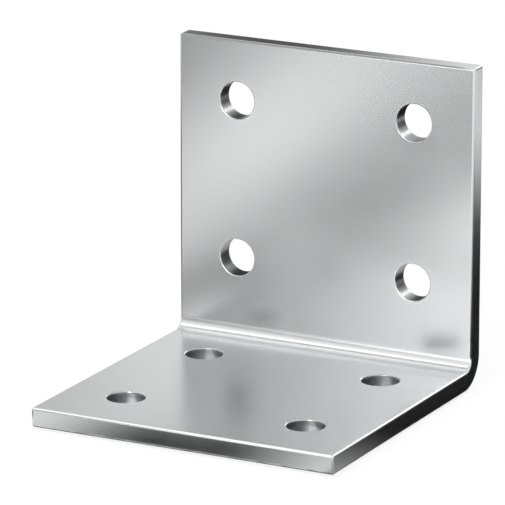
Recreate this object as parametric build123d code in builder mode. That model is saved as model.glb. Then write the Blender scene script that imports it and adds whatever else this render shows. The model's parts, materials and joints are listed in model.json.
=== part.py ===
from build123d import *
import os

# Angle bracket: one steel plate, sheared, punched with four holes in each leg and folded once
# through a right angle, with its sheared edges eased before it was zinc plated.
#
# X runs along the fold, +Y from the base's free edge to the rise's outer face, and Z up. The
# origin is the centre of the square that the bracket stands on. Sizes are in millimetres.

# the plate and its fold
width = 50.0  # along the fold
base_length = 50.0  # over the outside, from the free edge to the rise's outer face
rise_height = 50.0  # over the outside, from the underside to the free edge
thickness = 3.0
bend_inner_radius = 2.0
edge_radius = 0.4  # on every sheared edge

# the punched holes: plain round ones for M5 screws, two rows of two in each leg
hole_diameter = 5.8
hole_edge_radius = 0.2
side_margin = 10.0  # from each side of the plate to the nearer holes' centres
base_end_margin = 11.0  # from the base's free edge to its outer row
base_bend_gap = 9.0  # from the end of the fold to the base's inner row
rise_end_margin = 9.5
rise_bend_gap = 10.5

# where the plate runs
bend_outer_radius = bend_inner_radius + thickness
free_edge_y = -base_length / 2
back_y = base_length / 2
fold_y = back_y - bend_outer_radius  # the base ends and the fold begins
fold_z = bend_outer_radius  # the fold ends and the rise begins

# where the holes' rows are
hole_pitch_x = width - 2 * side_margin
base_outer_row_y = free_edge_y + base_end_margin
base_inner_row_y = fold_y - base_bend_gap
base_pitch_y = base_inner_row_y - base_outer_row_y
rise_lower_row_z = fold_z + rise_bend_gap
rise_upper_row_z = rise_height - rise_end_margin
rise_pitch_z = rise_upper_row_z - rise_lower_row_z

# each leg is punched from its outer face, so a plane lies there in the middle of its holes
base_punch = Plane(
    origin=(0, (base_outer_row_y + base_inner_row_y) / 2, 0),
    x_dir=(1, 0, 0),
    z_dir=(0, 0, -1),
)
rise_punch = Plane(
    origin=(0, back_y, (rise_lower_row_z + rise_upper_row_z) / 2),
    x_dir=(1, 0, 0),
    z_dir=(0, 1, 0),
)

with BuildPart() as angle_bracket:
    # the folded section: its outer skin, then its inner one a plate's thickness inside it
    with BuildSketch(Plane.YZ) as section:
        with BuildLine() as outline:
            Line((free_edge_y, 0), (fold_y, 0))
            CenterArc((fold_y, fold_z), bend_outer_radius, start_angle=-90, arc_size=90)
            Line((back_y, fold_z), (back_y, rise_height))
            offset(amount=thickness, side=Side.LEFT)
        make_face()
    extrude(amount=width / 2, both=True)

    # the sheared edges run round both sides and along both free ends; the fold's own
    # tangent lines, which are also parallel to X, are no edges of the plate
    side_edges = angle_bracket.edges().filter_by(Axis.X, reverse=True)
    base_end_edges = angle_bracket.faces().sort_by(Axis.Y)[0].edges().filter_by(Axis.X)
    rise_end_edges = angle_bracket.faces().sort_by(Axis.Z)[-1].edges().filter_by(Axis.X)
    fillet(side_edges + base_end_edges + rise_end_edges, radius=edge_radius)

    # the punched holes, with both of their rims eased
    for punch_plane, row_pitch in ((base_punch, base_pitch_y), (rise_punch, rise_pitch_z)):
        with BuildSketch(punch_plane) as punch:
            with GridLocations(hole_pitch_x, row_pitch, 2, 2):
                Circle(hole_diameter / 2)
        extrude(amount=-thickness, mode=Mode.SUBTRACT)
        rims = angle_bracket.edges(Select.LAST).filter_by(GeomType.CIRCLE)
        fillet(rims, radius=hole_edge_radius)

angle_bracket.part.label = "angle_bracket"

os.makedirs("parts", exist_ok=True)
export_step(angle_bracket.part, "parts/angle_bracket.step")
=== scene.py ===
import bpy
import json
import math
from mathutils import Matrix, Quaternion, Vector


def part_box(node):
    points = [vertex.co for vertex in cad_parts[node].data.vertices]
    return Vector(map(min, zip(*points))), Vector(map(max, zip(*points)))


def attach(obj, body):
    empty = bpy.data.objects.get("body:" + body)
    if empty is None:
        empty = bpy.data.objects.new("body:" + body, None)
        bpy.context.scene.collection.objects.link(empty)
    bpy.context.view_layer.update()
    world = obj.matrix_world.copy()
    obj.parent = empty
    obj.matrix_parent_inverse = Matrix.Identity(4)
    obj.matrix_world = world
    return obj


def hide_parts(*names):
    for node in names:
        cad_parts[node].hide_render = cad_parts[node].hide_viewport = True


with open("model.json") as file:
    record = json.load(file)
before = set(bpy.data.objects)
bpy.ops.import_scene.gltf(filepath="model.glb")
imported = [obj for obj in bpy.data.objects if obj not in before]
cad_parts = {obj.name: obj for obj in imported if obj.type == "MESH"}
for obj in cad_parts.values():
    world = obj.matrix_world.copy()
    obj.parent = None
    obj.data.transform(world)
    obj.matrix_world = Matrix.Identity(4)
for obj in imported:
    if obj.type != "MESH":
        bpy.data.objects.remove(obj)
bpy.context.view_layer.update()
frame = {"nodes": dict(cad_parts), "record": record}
print("frame loaded:", sorted(frame["nodes"]))

mm = 0.001
mounts = {mount["name"]: mount for mount in frame["record"]["mounts"]}
baseHoles, riseHoles = mounts["base_holes"], mounts["rise_holes"]
lowCorner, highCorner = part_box("angle_bracket")


def deselectAll():
    bpy.ops.object.select_all(action="DESELECT")


def makeActive(piece):
    deselectAll()
    piece.select_set(True)
    bpy.context.view_layer.objects.active = piece


def selectEdges(piece, wanted):
    # a selection made in code only counts after edit mode is left and entered again
    makeActive(piece)
    bpy.ops.object.mode_set(mode="EDIT")
    bpy.ops.mesh.select_mode(type="EDGE")
    bpy.ops.mesh.select_all(action="DESELECT")
    bpy.ops.object.mode_set(mode="OBJECT")
    for edge in piece.data.edges:
        start, end = (piece.data.vertices[i].co for i in edge.vertices)
        edge.select = wanted(start, end)
    bpy.ops.object.mode_set(mode="EDIT")


sharpAngle = math.radians(60)  # edges that turn more than this are eased


def bevelSharpEdges(piece, radius, segments):
    makeActive(piece)
    bpy.ops.object.mode_set(mode="EDIT")
    bpy.ops.mesh.select_mode(type="EDGE")
    bpy.ops.mesh.select_all(action="DESELECT")
    bpy.ops.mesh.edges_select_sharp(sharpness=sharpAngle)
    bpy.ops.mesh.bevel(offset=radius, segments=segments, affect="EDGES")
    bpy.ops.object.mode_set(mode="OBJECT")


def applyModifiers(piece):
    makeActive(piece)
    for modifier in list(piece.modifiers):
        bpy.ops.object.modifier_apply(modifier=modifier.name)


# camera
view = {
    "azimuth": 27.3,
    "elevation": 15.9,
    "distance": 763 * mm,
    "lens": 364.8,
    "sensor": 36,
    "clip": (10 * mm, 20),
    "aimOffset": Vector((-1.0, 0, -1.3)) * mm,  # from the middle of the bracket's box
}


def addCamera():
    azimuth, elevation = math.radians(view["azimuth"]), math.radians(view["elevation"])
    away = Vector((
        math.sin(azimuth) * math.cos(elevation),
        -math.cos(azimuth) * math.cos(elevation),
        math.sin(elevation),
    ))
    aim = (lowCorner + highCorner) / 2 + view["aimOffset"]
    bpy.ops.object.camera_add(location=aim + away * view["distance"])
    camera = bpy.context.object
    camera.name = "camera"
    camera.rotation_euler = (-away).to_track_quat("-Z", "Y").to_euler()
    camera.data.lens = view["lens"]
    camera.data.sensor_width = view["sensor"]
    camera.data.clip_start, camera.data.clip_end = view["clip"]
    bpy.context.scene.camera = camera


addCamera()
print("camera set")

# the bracket: a flat sheet, folded, thickened, eased along its edges and punched
bracket = {
    "thickness": mounts["base_inner_face"]["pos_m"][2],
    "bendInner": 2 * mm,
    "bendSegments": 24,
    "edgeRadius": 0.4 * mm,
    "edgeSegments": 5,
    "holeSides": 96,
    "rimRadius": 0.2 * mm,
    "rimSegments": 4,
    "punchLength": 12 * mm,
    "pickGap": 0.01 * mm,  # edges this close to a plane count as lying in it
}
bendOuter = bracket["bendInner"] + bracket["thickness"]


def foldSheet():
    deselectAll()
    bpy.ops.mesh.primitive_plane_add(size=1)
    sheet = bpy.context.object
    sheet.name = "bracketPlate"
    sheet.scale = (highCorner.x - lowCorner.x, highCorner.y - lowCorner.y, 1)
    bpy.ops.object.transform_apply(location=True, rotation=True, scale=True)
    atBack = highCorner.y - bracket["pickGap"]
    atFoot = lowCorner.z + bracket["pickGap"]
    selectEdges(sheet, lambda start, end: min(start.y, end.y) > atBack)
    bpy.ops.mesh.extrude_region_move(
        TRANSFORM_OT_translate={"value": (0, 0, highCorner.z - lowCorner.z)})
    bpy.ops.object.mode_set(mode="OBJECT")
    selectEdges(sheet, lambda start, end: min(start.y, end.y) > atBack and max(start.z, end.z) < atFoot)
    bpy.ops.mesh.bevel(offset=bendOuter, segments=bracket["bendSegments"], affect="EDGES")
    bpy.ops.object.mode_set(mode="OBJECT")
    return sheet


def thickenSheet(sheet):
    makeActive(sheet)
    bpy.ops.object.mode_set(mode="EDIT")
    bpy.ops.mesh.select_all(action="SELECT")
    bpy.ops.mesh.normals_make_consistent(inside=False)
    bpy.ops.object.mode_set(mode="OBJECT")
    solid = sheet.modifiers.new("plateThickness", "SOLIDIFY")
    solid.thickness = bracket["thickness"]
    solid.offset = -1  # inwards, so the sheet stays the outer face
    solid.use_even_offset = True
    applyModifiers(sheet)


def holeCentres(pattern, along):
    # the four holes of one leg, which runs along the given direction
    halfX = pattern["dims"]["spacing_x_mm"] / 2 * mm
    halfRow = pattern["dims"]["spacing_y_mm"] / 2 * mm
    for side in (-halfX, halfX):
        for row in (-halfRow, halfRow):
            yield Vector(pattern["pos_m"]) + Vector((side, 0, 0)) + along * row


def punchHoles(plate):
    deselectAll()
    punches = []
    legs = (
        (baseHoles, Vector((0, 1, 0)), (0, 0, 0)),
        (riseHoles, Vector((0, 0, 1)), (math.pi / 2, 0, 0)),
    )
    for pattern, along, turn in legs:
        for centre in holeCentres(pattern, along):
            bpy.ops.mesh.primitive_cylinder_add(
                vertices=bracket["holeSides"], radius=pattern["dims"]["hole_r_mm"] * mm,
                depth=bracket["punchLength"], location=centre, rotation=turn)
            punches.append(bpy.context.object)
    makeActive(punches[0])
    for punch in punches:
        punch.select_set(True)
    bpy.ops.object.join()
    tool = bpy.context.object
    cut = plate.modifiers.new("punch", "BOOLEAN")
    cut.operation = "DIFFERENCE"
    cut.solver = "EXACT"
    cut.object = tool
    applyModifiers(plate)
    makeActive(tool)
    bpy.ops.object.delete()


def smoothPlate(plate):
    makeActive(plate)
    bpy.ops.object.shade_smooth()
    weighted = plate.modifiers.new("flatNormals", "WEIGHTED_NORMAL")
    weighted.mode = "FACE_AREA"
    weighted.weight = 100  # the largest faces decide, so the flats stay flat
    applyModifiers(plate)


plate = foldSheet()
thickenSheet(plate)
bevelSharpEdges(plate, bracket["edgeRadius"], bracket["edgeSegments"])
punchHoles(plate)
bevelSharpEdges(plate, bracket["rimRadius"], bracket["rimSegments"])
smoothPlate(plate)
print("bracket folded and punched:", len(plate.data.polygons), "faces")


def newMaterial(name):
    material = bpy.data.materials.new(name)
    material.use_nodes = True
    return material, material.node_tree.nodes, material.node_tree.links


def calc(nodes, links, operation, *values):
    # one Math node; each value is a number or a socket
    node = nodes.new("ShaderNodeMath")
    node.operation = operation
    for slot, value in enumerate(values):
        if isinstance(value, (int, float)):
            node.inputs[slot].default_value = value
        else:
            links.new(value, node.inputs[slot])
    return node.outputs[0]


def fade(nodes, links, value, end):
    # 1 where the value is 0, falling to 0 where it reaches the end
    ramp = nodes.new("ShaderNodeMapRange")
    ramp.interpolation_type = "SMOOTHSTEP"
    ramp.inputs["To Min"].default_value = 1
    ramp.inputs["To Max"].default_value = 0
    links.new(value, ramp.inputs["Value"])
    links.new(end, ramp.inputs["From Max"])
    return ramp.outputs[0]


def addNoise(nodes, links, vector, scale, detail):
    noise = nodes.new("ShaderNodeTexNoise")
    noise.inputs["Detail"].default_value = detail
    links.new(vector, noise.inputs["Vector"])
    if isinstance(scale, (int, float)):
        noise.inputs["Scale"].default_value = scale
    else:
        links.new(scale, noise.inputs["Scale"])
    return noise.outputs["Fac"]


def newGroup(name, inputs, outputs):
    group = bpy.data.node_groups.new(name, "ShaderNodeTree")
    for socket in inputs:
        group.interface.new_socket(socket, in_out="INPUT", socket_type="NodeSocketFloat")
    for socket in outputs:
        group.interface.new_socket(socket, in_out="OUTPUT", socket_type="NodeSocketFloat")
    enter, leave = group.nodes.new("NodeGroupInput"), group.nodes.new("NodeGroupOutput")
    return group, group.nodes, group.links, enter.outputs, leave.inputs


def readPlace(nodes, links):
    place = nodes.new("ShaderNodeTexCoord").outputs["Object"]
    split = nodes.new("ShaderNodeSeparateXYZ")
    links.new(place, split.inputs[0])
    return place, split.outputs["X"], split.outputs["Y"], split.outputs["Z"]


def lengthOf(nodes, links, across, along):
    # the straight distance that two offsets make together
    offset = nodes.new("ShaderNodeCombineXYZ")
    links.new(across, offset.inputs["X"])
    links.new(along, offset.inputs["Y"])
    reach = nodes.new("ShaderNodeVectorMath")
    reach.operation = "LENGTH"
    links.new(offset.outputs[0], reach.inputs[0])
    return reach.outputs["Value"]


def sheetPlace(nodes, links, y, z):
    # how far along the folded sheet a point lies, and how deep below its outer face
    bendY, bendZ = highCorner.y - bendOuter, lowCorner.z + bendOuter
    onBase = calc(nodes, links, "MINIMUM", y, bendY)
    onRise = calc(nodes, links, "MAXIMUM", z, bendZ)
    along = calc(nodes, links, "ADD", onBase, onRise)
    pastY = calc(nodes, links, "MAXIMUM", calc(nodes, links, "SUBTRACT", y, bendY), 0)
    pastZ = calc(nodes, links, "MAXIMUM", calc(nodes, links, "SUBTRACT", bendZ, z), 0)
    return along, calc(nodes, links, "SUBTRACT", bendOuter, lengthOf(nodes, links, pastY, pastZ))


# how fine each effect's noise is, and how many finer layers it has
noiseMiddle = 0.5  # noise runs from 0 to 1
satinNoise = {"detail": 2}
streakNoise = {"scale": 1, "detail": 3}
wearNoise = {"scale": 900, "detail": 3}
burrNoise = {"scale": 700, "detail": 3}


def satinGrainGroup():
    inputs, outputs = ("Grain Scale", "Cloud Scale"), ("Grain", "Cloud")
    group, nodes, links, enter, leave = newGroup("satinGrain", inputs, outputs)
    place = nodes.new("ShaderNodeTexCoord").outputs["Object"]
    for scale, mask in zip(inputs, outputs):
        links.new(addNoise(nodes, links, place, enter[scale], satinNoise["detail"]), leave[mask])
    return group


holes = {  # both legs have the same pattern
    "halfX": baseHoles["dims"]["spacing_x_mm"] / 2 * mm,
    "halfRow": baseHoles["dims"]["spacing_y_mm"] / 2 * mm,
    "radius": baseHoles["dims"]["hole_r_mm"] * mm,
}


def edgeWearGroup():
    # burnished bands along the outline's edges and the holes' rims
    group, nodes, links, enter, leave = newGroup("edgeWear", ("Width", "Breakup"), ("Wear",))
    place, x, y, z = readPlace(nodes, links)
    depth = sheetPlace(nodes, links, y, z)[1]
    acrossX = calc(nodes, links, "ABSOLUTE", x)
    sideGap = calc(nodes, links, "SUBTRACT", highCorner.x, acrossX)
    baseEnd = calc(nodes, links, "SUBTRACT", y, lowCorner.y)
    riseEnd = calc(nodes, links, "SUBTRACT", highCorner.z, z)
    endGap = calc(nodes, links, "MINIMUM", baseEnd, riseEnd)
    outlineGap = calc(nodes, links, "MINIMUM", sideGap, endGap)
    baseRow = calc(nodes, links, "SUBTRACT", y, baseHoles["pos_m"][1])
    riseRow = calc(nodes, links, "SUBTRACT", z, riseHoles["pos_m"][2])
    onRise = calc(nodes, links, "GREATER_THAN", z, bendOuter)
    legShift = calc(nodes, links, "MULTIPLY", calc(nodes, links, "SUBTRACT", riseRow, baseRow), onRise)
    row = calc(nodes, links, "ABSOLUTE", calc(nodes, links, "ADD", baseRow, legShift))
    fromHoleX = calc(nodes, links, "SUBTRACT", acrossX, holes["halfX"])
    fromHoleRow = calc(nodes, links, "SUBTRACT", row, holes["halfRow"])
    reach = lengthOf(nodes, links, fromHoleX, fromHoleRow)
    holeGap = calc(nodes, links, "ABSOLUTE", calc(nodes, links, "SUBTRACT", reach, holes["radius"]))
    innerGap = calc(nodes, links, "SUBTRACT", bracket["thickness"], depth)
    faceGap = calc(nodes, links, "MINIMUM", depth, innerGap)
    gap = calc(nodes, links, "MAXIMUM", calc(nodes, links, "MINIMUM", outlineGap, holeGap), faceGap)
    noise = addNoise(nodes, links, place, wearNoise["scale"], wearNoise["detail"])
    uneven = calc(nodes, links, "SUBTRACT", noise, noiseMiddle)
    gap = calc(nodes, links, "ADD", gap, calc(nodes, links, "MULTIPLY", uneven, enter["Breakup"]))
    links.new(fade(nodes, links, gap, enter["Width"]), leave["Wear"])
    return group


def shearMarksGroup():
    # streaks drawn out along the sheet or through it, and the torn rim at the outer face, whose dark
    # colour is partly a real burr and partly painted shade
    inputs = ("Plane Scale", "Depth Scale", "Burr Width")
    group, nodes, links, enter, leave = newGroup("shearMarks", inputs, ("Streaks", "Burr"))
    place, x, y, z = readPlace(nodes, links)
    along, depth = sheetPlace(nodes, links, y, z)
    stretched = nodes.new("ShaderNodeCombineXYZ")
    links.new(calc(nodes, links, "MULTIPLY", x, enter["Plane Scale"]), stretched.inputs["X"])
    links.new(calc(nodes, links, "MULTIPLY", along, enter["Plane Scale"]), stretched.inputs["Y"])
    links.new(calc(nodes, links, "MULTIPLY", depth, enter["Depth Scale"]), stretched.inputs["Z"])
    streaks = addNoise(nodes, links, stretched.outputs[0], streakNoise["scale"], streakNoise["detail"])
    links.new(streaks, leave["Streaks"])
    noise = addNoise(nodes, links, place, burrNoise["scale"], burrNoise["detail"])
    ragged = calc(nodes, links, "DIVIDE", noise, noiseMiddle)
    width = calc(nodes, links, "MULTIPLY", ragged, enter["Burr Width"])
    links.new(fade(nodes, links, depth, width), leave["Burr"])
    return group


satinGrain = satinGrainGroup()
edgeWear = edgeWearGroup()
shearMarks = shearMarksGroup()


def placeGroup(nodes, group, values):
    node = nodes.new("ShaderNodeGroup")
    node.node_tree = group
    for socket, value in values.items():
        node.inputs[socket].default_value = value
    return node.outputs


mixSockets = {"first": 6, "second": 7, "result": 2}  # where a Mix node keeps its colours


def mixColour(nodes, links, mask, first, second):
    mix = nodes.new("ShaderNodeMix")
    mix.data_type = "RGBA"
    links.new(mask, mix.inputs["Factor"])
    for socket, colour in (("first", first), ("second", second)):
        if isinstance(colour, tuple):
            mix.inputs[mixSockets[socket]].default_value = colour
        else:
            links.new(colour, mix.inputs[mixSockets[socket]])
    return mix.outputs[mixSockets["result"]]


def addBump(nodes, links, height, distance, before=None):
    bump = nodes.new("ShaderNodeBump")
    bump.inputs["Distance"].default_value = distance
    links.new(height, bump.inputs["Height"])
    if before:
        links.new(before, bump.inputs["Normal"])
    return bump.outputs[0]


def sumRoughness(nodes, links, base, parts):
    # the plain roughness plus each mask times its share
    total = base
    for mask, share in parts:
        total = calc(nodes, links, "ADD", calc(nodes, links, "MULTIPLY", mask, share), total)
    return total


zincFinish = {  # what the three finishes share, unless one sets its own
    "grain": {"Grain Scale": 1500, "Cloud Scale": 140},
    "wear": {"Width": 0.7 * mm, "Breakup": 0.4 * mm},
    "dull": (0.677, 0.686, 0.69, 1),
    "clear": (0.707, 0.714, 0.716, 1),
    "burnished": (0.76, 0.765, 0.77, 1),
    "grainHeight": 0.0002 * mm,
}


def zincMaterial(name, ownFinish):
    finish = {**zincFinish, **ownFinish}
    material, nodes, links = newMaterial(name)
    shader = nodes["Principled BSDF"]
    shader.inputs["Metallic"].default_value = 1
    grain = placeGroup(nodes, satinGrain, finish["grain"])
    marks = placeGroup(nodes, shearMarks, finish["marks"])
    edges = placeGroup(nodes, edgeWear, finish["wear"])
    wear = calc(nodes, links, "MULTIPLY", edges["Wear"], finish["wearAmount"])
    burrShadeMask = calc(nodes, links, "MULTIPLY", marks["Burr"], finish["burrAmount"])
    colour = mixColour(nodes, links, grain["Cloud"], finish["dull"], finish["clear"])
    colour = mixColour(nodes, links, wear, colour, finish["burnished"])
    # the torn rim's colour: partly a real burr, partly painted shade along the sheet's outer side,
    # where it meets the floor
    colour = mixColour(nodes, links, burrShadeMask, colour, finish["tornColour"])
    links.new(colour, shader.inputs["Base Color"])
    roughness = sumRoughness(nodes, links, finish["roughness"], (
        (grain["Cloud"], finish["cloudShare"]),
        (grain["Grain"], finish["grainShare"]),
        (wear, finish["wearShare"]),
        (marks["Streaks"], finish["streakShare"]),
        (burrShadeMask, finish["tornShare"]),
    ))
    links.new(roughness, shader.inputs["Roughness"])
    normal = addBump(nodes, links, grain["Grain"], finish["grainHeight"])
    normal = addBump(nodes, links, marks["Streaks"], finish["streakHeight"], normal)
    links.new(normal, shader.inputs["Normal"])
    return material


rolledFace = {  # faint rolling lines along each leg
    "marks": {"Plane Scale": 900, "Depth Scale": 10, "Burr Width": 0.1 * mm},
    "wearAmount": 0.6,
    "burrAmount": 0,
    "tornColour": (0.4, 0.405, 0.41, 1),
    "roughness": 0.23,
    "cloudShare": 0.03,
    "grainShare": 0.012,
    "wearShare": -0.04,
    "streakShare": 0.01,
    "tornShare": 0,
    "streakHeight": 0.0002 * mm,
}
# the torn line's dark colour is partly a real burr and partly painted shade, like the dark contact
# where the edge meets the floor
shearedEdge = {  # streaks along the edge, and a torn line at its outer side
    "marks": {"Plane Scale": 120, "Depth Scale": 2600, "Burr Width": 0.45 * mm},
    "wearAmount": 0.4,
    "burrAmount": 1,
    "tornColour": (0.1, 0.102, 0.105, 1),
    "roughness": 0.17,
    "cloudShare": 0.05,
    "grainShare": 0.03,
    "wearShare": -0.05,
    "streakShare": 0.06,
    "tornShare": 0.15,
    "streakHeight": 0.0015 * mm,
}
# the bore's darker colour is painted shade, standing in for the dark inside of the holes
shadedBore = {  # darker, with fine rings round the wall
    "marks": {"Plane Scale": 60, "Depth Scale": 3000, "Burr Width": 0.4 * mm},
    "wearAmount": 0.5,
    "burrAmount": 0.7,
    "tornColour": (0.15, 0.15, 0.155, 1),
    "dull": (0.3, 0.305, 0.315, 1),
    "clear": (0.38, 0.385, 0.395, 1),
    "roughness": 0.19,
    "cloudShare": 0.04,
    "grainShare": 0.06,
    "wearShare": -0.04,
    "streakShare": 0.14,
    "tornShare": 0.2,
    "streakHeight": 0.02 * mm,
}
for name, finish in (("zincFace", rolledFace), ("zincEdge", shearedEdge), ("zincBore", shadedBore)):
    plate.data.materials.append(zincMaterial(name, finish))


zones = {
    "rimReach": 0.15 * mm,  # how far past a hole's wall its finish goes on
    "edgeBand": 0.2 * mm,  # how far in from the outline the sheared finish goes on
}


def assignZones(plate):
    faceZone, edgeZone, boreZone = range(len(plate.data.materials))
    for face in plate.data.polygons:
        x, y, z = face.center
        row = y - baseHoles["pos_m"][1] if z < bendOuter else z - riseHoles["pos_m"][2]
        fromHole = math.hypot(abs(x) - holes["halfX"], abs(row) - holes["halfRow"])
        toOutline = min(highCorner.x - abs(x), y - lowCorner.y, highCorner.z - z)
        if fromHole < holes["radius"] + zones["rimReach"]:
            face.material_index = boreZone
        elif toOutline < zones["edgeBand"]:
            face.material_index = edgeZone
        else:
            face.material_index = faceZone


assignZones(plate)
print("materials placed:", [material.name for material in plate.data.materials])

# the studio: white floor and world, two lamps, and cards that only reflections see
white = (1, 1, 1, 1)
studio = {
    "floorSize": 8,
    "floorDrop": -0.3 * mm,
    "floorColour": (0.15, 0.15, 0.15, 1),
    "floorGlow": 0.85,
    "worldStrength": 1.0,
    "cardStep": 0.02 * mm,  # cards lying on the floor are stacked this far apart
}
# cards lying on the floor: middle and size in mm, turn in degrees,
# fade across and along as shares of the size, strength
floorCards = {
    "farDark": ((-127, -215), (104, 330), 0, (0.3, 0.2), 0.0),
    "stripeLight": ((-86, -180), (30, 250), -10, (0.4, 0.2), 2.6),
    "stripeDark": ((-50, -168), (56, 275), -9, (0.35, 0.1), 0.0),
    "nearLight": ((-6, -62), (44, 44), -9, (0.3, 0.3), 2.0),
    "nearDark": ((-1, -33), (60, 16), 0, (0.42, 0.1), 0.04),
    "leftSideDark": ((-122, -4), (130, 170), -27, (0.08, 0.15), 0.1),
    "cornerDark": ((-38, -18), (18, 34), 0, (0.15, 0.15), 0.05),
    "leftDark": ((-46, 0), (38, 38), 0, (0.3, 0.2), 0.35),
    "leftBackDark": ((-108, 64), (150, 90), 0, (0.2, 0.2), 0.15),
    "behindDark": ((18, 112), (112, 140), 0, (0.1, 0.2), 0.02),
    "farBehindDark": ((90, 250), (60, 220), -33, (0.25, 0.1), 0.0),
    # the next card lies dark behind the bracket on the right: painted shadow where the bracket's own
    # shadow would fall, mirrored in its side face
    "sideDark": ((81, 38), (118, 190), 0, (0.02, 0.3), 0.01),
    "sideRamp": ((91, 92), (138, 145), 0, (0.05, 0.5), 0.0),
    # the next card lies dark under the plate: painted shade where the floor lies in the bracket's
    # shadow, mirrored in the holes' walls
    "underDark": ((0, 0), (51, 51), 0, (0.02, 0.02), 0.0),
}
# cards standing round the bracket, each facing it: the same, with a tilt in its own plane
standingCards = {
    "frontWhite": ((-73, -200, 78), (60, 110), 20, (0.25, 0.3), 2.6),
    "frontDark": ((-128, -202, 82), (88, 180), 25, (0.32, 0.2), 0.06),
    "leftWhite": ((-185, -204, 80), (50, 110), 0, (0.3, 0.3), 1.4),
    "topFlag": ((-34, 70, 64), (82, 48), 0, (0.45, 0.12), 0.06),
    "holeFlag": ((-12, 46, 20), (46, 18), 0, (0.1, 0.1), 0.05),
    "backLeftDim": ((-160, 200, 80), (70, 100), 0, (0.5, 0.2), 0.5),
    "horizonDark": ((-150, 200, 16), (190, 40), 0, (0.1, 0.2), 0.0),
    "backDark": ((110, 300, 45), (260, 120), 0, (0.1, 0.15), 0.0),
    "holeDim": ((-107, 200, 72), (24, 30), 0, (0.3, 0.3), 0.7),
    "backGlint": ((70, 320, 170), (90, 60), 0, (0.2, 0.2), 7.0),
    "sideFlag": ((110, 230, 40), (170, 80), 0, (0.2, 0.2), 0.1),
}
underHole = {  # one below each hole of the base, for the glint inside
    "shift": Vector((-1.1, -0.4, 0)) * mm,
    "level": -0.1 * mm,
    "size": (0.8, 4.6),
    "borders": (0.3, 0.2),
    "strength": 28,
}
overTop = {  # level, just above the rise's top edge
    "middle": Vector((-15, 18, 55)) * mm,
    "size": (76, 15),
    "borders": (0.05, 0.15),
    "strength": 0.4,
}


def softEdgeGroup():
    # 1 in the middle of a card, falling to 0 at its borders
    group, nodes, links, enter, leave = newGroup("softEdge", ("Across", "Along"), ("Mask",))
    x, y = readPlace(nodes, links)[1:3]
    halfCard = 0.5
    masks = []
    for axis, share in ((x, enter["Across"]), (y, enter["Along"])):
        fromBorder = calc(nodes, links, "SUBTRACT", halfCard, calc(nodes, links, "ABSOLUTE", axis))
        masks.append(calc(nodes, links, "SUBTRACT", 1, fade(nodes, links, fromBorder, share)))
    links.new(calc(nodes, links, "MULTIPLY", *masks), leave["Mask"])
    return group


softEdge = softEdgeGroup()


def addCard(name, place, size, turn, borders, strength):
    deselectAll()
    bpy.ops.mesh.primitive_plane_add(size=1, location=place, rotation=turn)
    card = bpy.context.object
    card.name = name
    card.scale = (size[0] * mm, size[1] * mm, 1)
    card.visible_camera = False
    card.visible_diffuse = False
    card.visible_shadow = False
    material, nodes, links = newMaterial(name)
    nodes.remove(nodes["Principled BSDF"])
    mask = placeGroup(nodes, softEdge, {"Across": borders[0], "Along": borders[1]})
    clear = nodes.new("ShaderNodeBsdfTransparent")
    glow = nodes.new("ShaderNodeEmission")
    glow.inputs["Strength"].default_value = strength
    mix = nodes.new("ShaderNodeMixShader")
    links.new(mask["Mask"], mix.inputs["Fac"])
    links.new(clear.outputs[0], mix.inputs[1])
    links.new(glow.outputs[0], mix.inputs[2])
    links.new(mix.outputs[0], nodes["Material Output"].inputs["Surface"])
    card.data.materials.append(material)


def addFloor():
    deselectAll()
    bpy.ops.mesh.primitive_plane_add(size=studio["floorSize"], location=(0, 0, studio["floorDrop"]))
    floor = bpy.context.object
    floor.name = "floor"
    material, nodes, links = newMaterial("paleFloor")
    shader = nodes["Principled BSDF"]
    shader.inputs["Base Color"].default_value = studio["floorColour"]
    shader.inputs["Roughness"].default_value = 1
    shader.inputs["Specular IOR Level"].default_value = 0
    shader.inputs["Emission Color"].default_value = white
    rays = nodes.new("ShaderNodeLightPath").outputs
    seen = calc(nodes, links, "MAXIMUM", rays["Is Camera Ray"], rays["Is Glossy Ray"])
    seen = calc(nodes, links, "MAXIMUM", seen, rays["Is Transmission Ray"])
    glow = calc(nodes, links, "MULTIPLY", seen, studio["floorGlow"])
    links.new(glow, shader.inputs["Emission Strength"])
    floor.data.materials.append(material)


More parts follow.
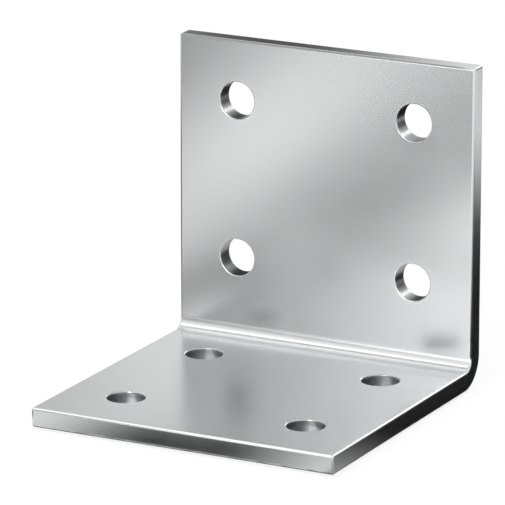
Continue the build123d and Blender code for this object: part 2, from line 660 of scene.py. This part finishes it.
def addWorld():
    world = bpy.data.worlds.new("studio")
    bpy.context.scene.world = world
    world.use_nodes = True
    background = world.node_tree.nodes["Background"]
    background.inputs["Color"].default_value = white
    background.inputs["Strength"].default_value = studio["worldStrength"]


def towards(azimuth, elevation):
    azimuth, elevation = math.radians(azimuth), math.radians(elevation)
    return Vector((
        math.sin(azimuth) * math.cos(elevation),
        math.cos(azimuth) * math.cos(elevation),
        math.sin(elevation),
    ))


def addFloorCards():
    for level, (name, (middle, size, turn, borders, strength)) in enumerate(floorCards.items(), 1):
        place = Vector((*middle, 0)) * mm
        place.z = studio["floorDrop"] + level * studio["cardStep"]
        addCard(name, place, size, (0, 0, math.radians(turn)), borders, strength)


def addStandingCards():
    for name, (middle, size, tilt, borders, strength) in standingCards.items():
        facing = Vector((-middle[0], -middle[1], 0)).to_track_quat("Z", "Y")
        turn = (facing @ Quaternion((0, 0, 1), math.radians(tilt))).to_euler()
        addCard(name, Vector(middle) * mm, size, turn, borders, strength)


def addFlatCard(name, place, card):
    addCard(name, place, card["size"], (0, 0, 0), card["borders"], card["strength"])


addFloor()
addWorld()
addFloorCards()
addStandingCards()
for centre in holeCentres(baseHoles, Vector((0, 1, 0))):
    place = centre + underHole["shift"]
    place.z = underHole["level"]
    addFlatCard("underHole", place, underHole)
addFlatCard("overTop", overTop["middle"], overTop)

lamps = {  # azimuth from +Y, elevation, distance, size in mm, watts
    "overheadSoftbox": (238, 59, 600, (120, 200), 0.15),
    "frontStrip": (176, 18, 600, (16, 160), 1.2),
}


def addLamp(name, azimuth, elevation, distance, size, power):
    away = towards(azimuth, elevation)
    turn = away.to_track_quat("Z", "Y").to_euler()
    bpy.ops.object.light_add(type="AREA", location=away * distance * mm, rotation=turn)
    lamp = bpy.context.object
    lamp.name = name
    lamp.data.shape = "RECTANGLE"
    lamp.data.size = size[0] * mm
    lamp.data.size_y = size[1] * mm
    lamp.data.energy = power


for name, values in lamps.items():
    addLamp(name, *values)
bpy.context.scene.view_settings.view_transform = "Standard"
print("studio set, with", len(lamps), "lamps")

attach(plate, "root")
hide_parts("angle_bracket")
